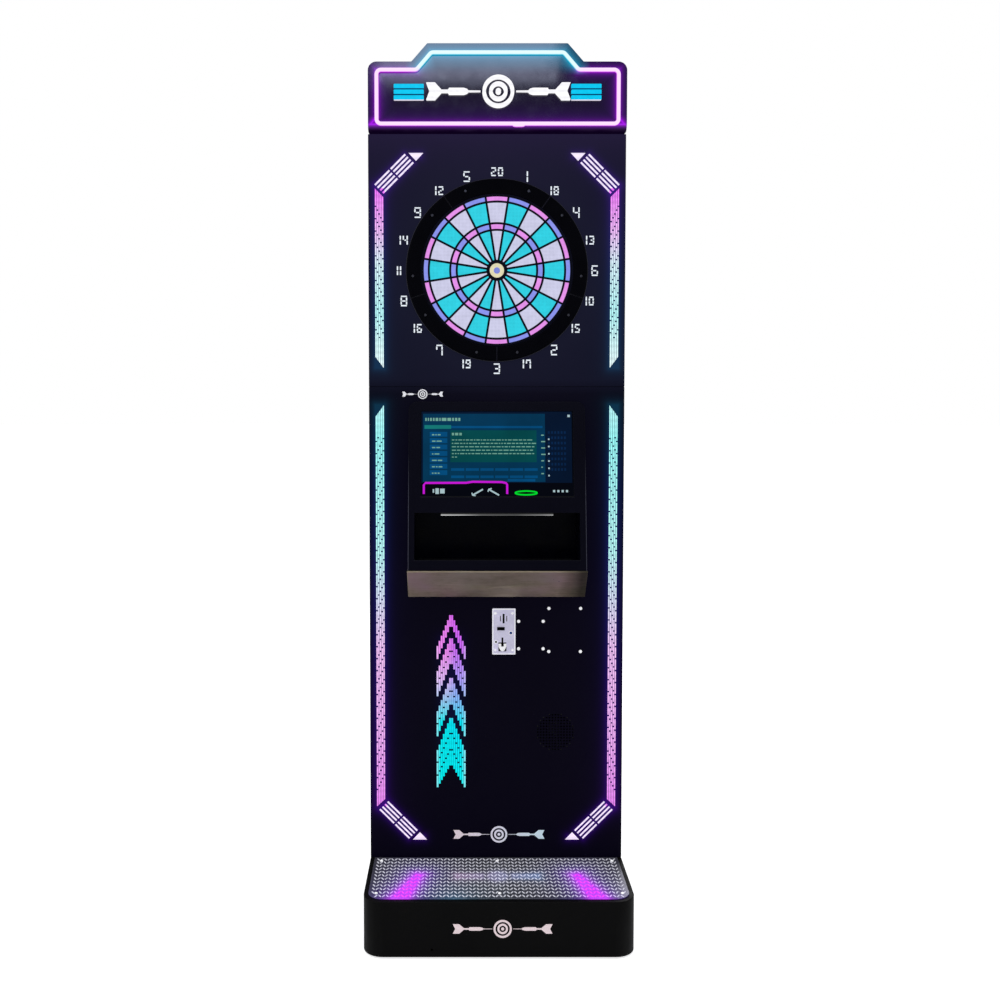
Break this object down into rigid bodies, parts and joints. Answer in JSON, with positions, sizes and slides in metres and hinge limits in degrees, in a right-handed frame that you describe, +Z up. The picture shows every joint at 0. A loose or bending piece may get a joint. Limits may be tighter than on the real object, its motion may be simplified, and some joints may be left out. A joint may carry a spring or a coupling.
{
  "type": "electronic dartboard machine",
  "caption": "Free-standing coin-operated electronic dartboard with a segmented target, display, dart tray, tread-plate base and lit header.",
  "frame": {"origin": "on the floor at the middle of the footprint", "axes": "+Z up, +X to the right of a player who faces the target, +Y from the player towards the back of the machine"},
  "size_m": [0.69, 0.56, 2.345],
  "materials": {
    "cabinet_black": "satin powder coat",
    "board_black": "black laminate on board",
    "base_black": "satin powder coat",
    "tread": "bright checker plate",
    "bright_metal": "bright plated",
    "brushed_trim": "brushed, lines run sideways",
    "rubber_black": "matt",
    "gloss_black": "gloss acrylic",
    "neon": "opal silicone light tube",
    "lit_white": "lit opal acrylic",
    "lit_cyan": "lit acrylic",
    "opal_pink_cyan": "lit opal sheet, pink to cyan",
    "opal_pink": "lit opal sheet",
    "opal_violet_cyan": "lit opal sheet, violet to cyan",
    "opal_white": "lit opal sheet",
    "spider_black": "moulded",
    "foam_black": "dense foam, matt",
    "seg_pink": "translucent, backlit",
    "seg_violet": "translucent, backlit",
    "seg_white": "translucent, backlit",
    "seg_cyan": "translucent, backlit",
    "bull_cream": "translucent, backlit",
    "bull_lavender": "translucent, backlit",
    "screen": "lit display behind glass",
    "zinc": "satin die-cast",
    "steel": "plain zinc-plated",
    "channel": "extruded",
    "electronics_green": "circuit board",
    "sensor_film": "clear sensor film",
    "black_plastic": "moulded",
    "badge_metal": "printed foil"
  },
  "bodies": {
    "cabinet": {"base_shell": "base_black", "base_feet": "rubber_black", "tread_plate": "tread", "bright_screws": "bright_metal", "lower_side_left": "board_black", "lower_side_right": "board_black", "upper_side_left": "board_black", "upper_side_right": "board_black", "cabinet_floor": "board_black", "mid_plate": "board_black", "lower_front_panel": "cabinet_black", "upper_front_panel": "cabinet_black", "upper_back_panel": "cabinet_black", "header_housing": "cabinet_black", "header_face": "gloss_black", "header_neon": "neon", "header_emblem": "lit_white", "header_bars": "lit_cyan", "badges": "badge_metal", "strip_diffusers": "opal_pink_cyan", "lamp_diffusers": "opal_pink", "chevron_diffuser": "opal_violet_cyan", "numeral_diffuser": "opal_white", "led_strips": "channel", "monitor_hood": "cabinet_black", "display_panel": "screen", "tray_liner": "gloss_black", "tray_light": "lit_white", "tray_trim": "brushed_trim", "target_spider": "spider_black", "sensor_mat": "sensor_film", "led_backlight": "opal_white", "target_backplate": "steel", "surround_ring": "foam_black", "surround_screws": "bright_metal", "coin_faceplate": "zinc", "coin_mech_body": "black_plastic", "speaker_driver": "black_plastic", "power_supply": "steel", "main_board": "electronics_green", "fan_frame": "black_plastic", "door_hinges": "steel", "power_inlet": "black_plastic"},
    "double_a": {"double_a": "seg_pink"},
    "double_b": {"double_b": "seg_violet"},
    "outer_single_a": {"outer_single_a": "seg_white"},
    "outer_single_b": {"outer_single_b": "seg_cyan"},
    "treble_a": {"treble_a": "seg_pink"},
    "treble_b": {"treble_b": "seg_violet"},
    "inner_single_a": {"inner_single_a": "seg_white"},
    "inner_single_b": {"inner_single_b": "seg_cyan"},
    "outer_bull": {"outer_bull": "bull_cream"},
    "inner_bull": {"inner_bull": "bull_lavender"},
    "reject_button": {"reject_button": "black_plastic"},
    "coin_return_flap": {"coin_return_flap": "black_plastic"},
    "cash_box": {"cash_box": "steel"},
    "rear_door": {"rear_door": "board_black"},
    "door_lock": {"door_lock": "bright_metal"},
    "fan_rotor": {"fan_rotor": "black_plastic"},
    "power_rocker": {"power_rocker": "black_plastic"}
  },
  "joints": [
    {"name": "double_a_press", "type": "slide", "parent": "cabinet", "child": "double_a", "axis": [0, 1, 0], "range_m": [0, 0.0015], "stiffness_N_per_m": 1500, "springref_m": -0.0005},
    {"name": "double_b_press", "type": "slide", "parent": "cabinet", "child": "double_b", "axis": [0, 1, 0], "range_m": [0, 0.0015], "stiffness_N_per_m": 1500, "springref_m": -0.0005},
    {"name": "outer_single_a_press", "type": "slide", "parent": "cabinet", "child": "outer_single_a", "axis": [0, 1, 0], "range_m": [0, 0.0015], "stiffness_N_per_m": 1500, "springref_m": -0.0005},
    {"name": "outer_single_b_press", "type": "slide", "parent": "cabinet", "child": "outer_single_b", "axis": [0, 1, 0], "range_m": [0, 0.0015], "stiffness_N_per_m": 1500, "springref_m": -0.0005},
    {"name": "treble_a_press", "type": "slide", "parent": "cabinet", "child": "treble_a", "axis": [0, 1, 0], "range_m": [0, 0.0015], "stiffness_N_per_m": 1500, "springref_m": -0.0005},
    {"name": "treble_b_press", "type": "slide", "parent": "cabinet", "child": "treble_b", "axis": [0, 1, 0], "range_m": [0, 0.0015], "stiffness_N_per_m": 1500, "springref_m": -0.0005},
    {"name": "inner_single_a_press", "type": "slide", "parent": "cabinet", "child": "inner_single_a", "axis": [0, 1, 0], "range_m": [0, 0.0015], "stiffness_N_per_m": 1500, "springref_m": -0.0005},
    {"name": "inner_single_b_press", "type": "slide", "parent": "cabinet", "child": "inner_single_b", "axis": [0, 1, 0], "range_m": [0, 0.0015], "stiffness_N_per_m": 1500, "springref_m": -0.0005},
    {"name": "outer_bull_press", "type": "slide", "parent": "cabinet", "child": "outer_bull", "axis": [0, 1, 0], "range_m": [0, 0.0015], "stiffness_N_per_m": 400, "springref_m": -0.0005},
    {"name": "inner_bull_press", "type": "slide", "parent": "cabinet", "child": "inner_bull", "axis": [0, 1, 0], "range_m": [0, 0.0015], "stiffness_N_per_m": 400, "springref_m": -0.0005},
    {"name": "reject_press", "type": "slide", "parent": "cabinet", "child": "reject_button", "axis": [0, 1, 0], "range_m": [0, 0.004], "stiffness_N_per_m": 250, "springref_m": -0.001},
    {"name": "coin_flap_hinge", "type": "hinge", "parent": "cabinet", "child": "coin_return_flap", "pos_m": [0.0165, -0.00425, 0.7421], "axis": [1, 0, 0], "range_deg": [0, 35]},
    {"name": "cash_box_lift", "type": "slide", "parent": "cabinet", "child": "cash_box", "axis": [0, 0, 1], "range_m": [0, 0.06]},
    {"name": "rear_door_hinge", "type": "hinge", "parent": "cabinet", "child": "rear_door", "pos_m": [0.324, 0.276, 0.79], "axis": [0, 0, -1], "range_deg": [0, 110]},
    {"name": "door_lock_turn", "type": "hinge", "parent": "rear_door", "child": "door_lock", "pos_m": [0, 0.272, 1.4], "axis": [0, 1, 0], "range_deg": [0, 90]},
    {"name": "fan_spin", "type": "hinge", "parent": "cabinet", "child": "fan_rotor", "pos_m": [0, 0.266, 1.85], "axis": [0, 1, 0], "continuous": true},
    {"name": "power_rocker_tip", "type": "hinge", "parent": "cabinet", "child": "power_rocker", "pos_m": [0.2445, 0.273, 0.078], "axis": [1, 0, 0], "range_deg": [-8, 8]}
  ]
}
